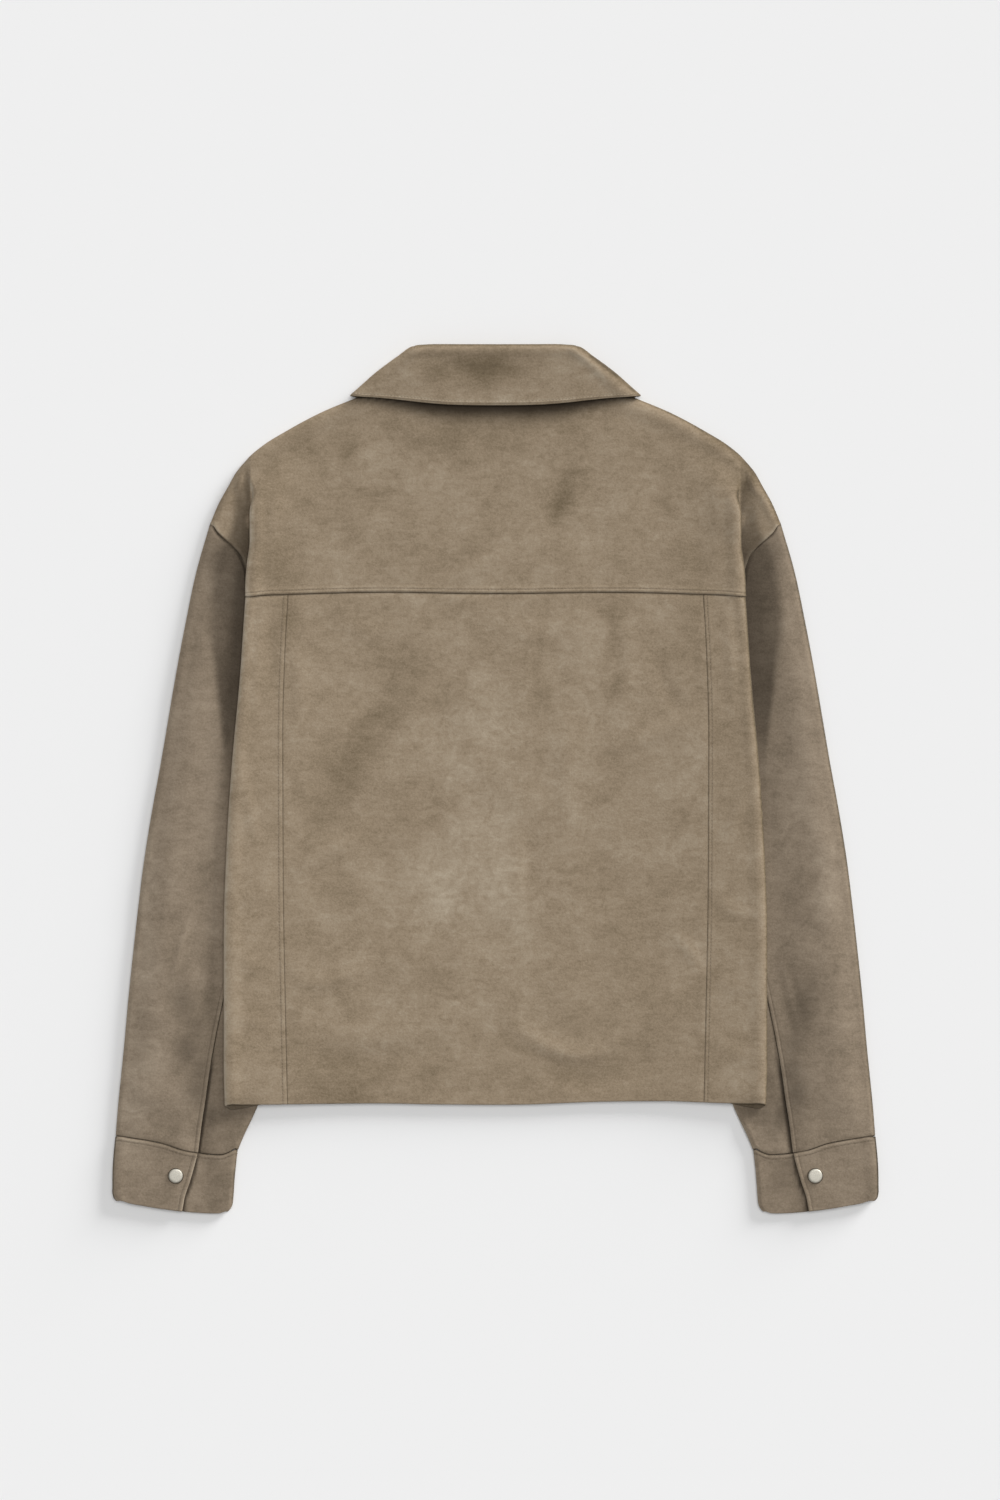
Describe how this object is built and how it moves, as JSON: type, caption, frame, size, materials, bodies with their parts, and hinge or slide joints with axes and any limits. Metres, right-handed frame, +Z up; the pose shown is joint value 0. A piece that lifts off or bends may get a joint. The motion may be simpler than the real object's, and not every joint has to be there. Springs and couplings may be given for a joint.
{
  "type": "suede jacket",
  "caption": "Suede jacket laid flat on its front: back yoke, panelled back, folded collar, two-piece sleeves and lapped cuffs with press snaps",
  "frame": {"origin": "centre of the bounding box, at the surface that the jacket lies on", "axes": "+Y runs from hem to collar, +Z points up out of the back, +X to the right seen from above with the collar away from the viewer"},
  "size_m": [0.7286, 0.8263, 0.0162],
  "materials": {
    "body_suede": "matte suede nap",
    "sleeve_suede": "matte suede nap",
    "snap_metal": "pale brushed nickel"
  },
  "bodies": {
    "root": {"back_centre": "body_suede", "back_side_left": "body_suede", "back_side_right": "body_suede", "yoke": "body_suede", "front_left": "body_suede", "front_right": "body_suede", "collar": "body_suede", "sleeve_upper_left": "sleeve_suede", "sleeve_upper_right": "sleeve_suede", "sleeve_under_left": "sleeve_suede", "sleeve_under_right": "sleeve_suede", "cuff_left": "sleeve_suede", "cuff_right": "sleeve_suede", "cuff_snap_left": "snap_metal", "cuff_snap_right": "snap_metal", "front_snap_1": "snap_metal", "front_snap_2": "snap_metal", "front_snap_3": "snap_metal", "front_snap_4": "snap_metal", "front_snap_5": "snap_metal", "front_snap_6": "snap_metal"}
  },
  "joints": []
}
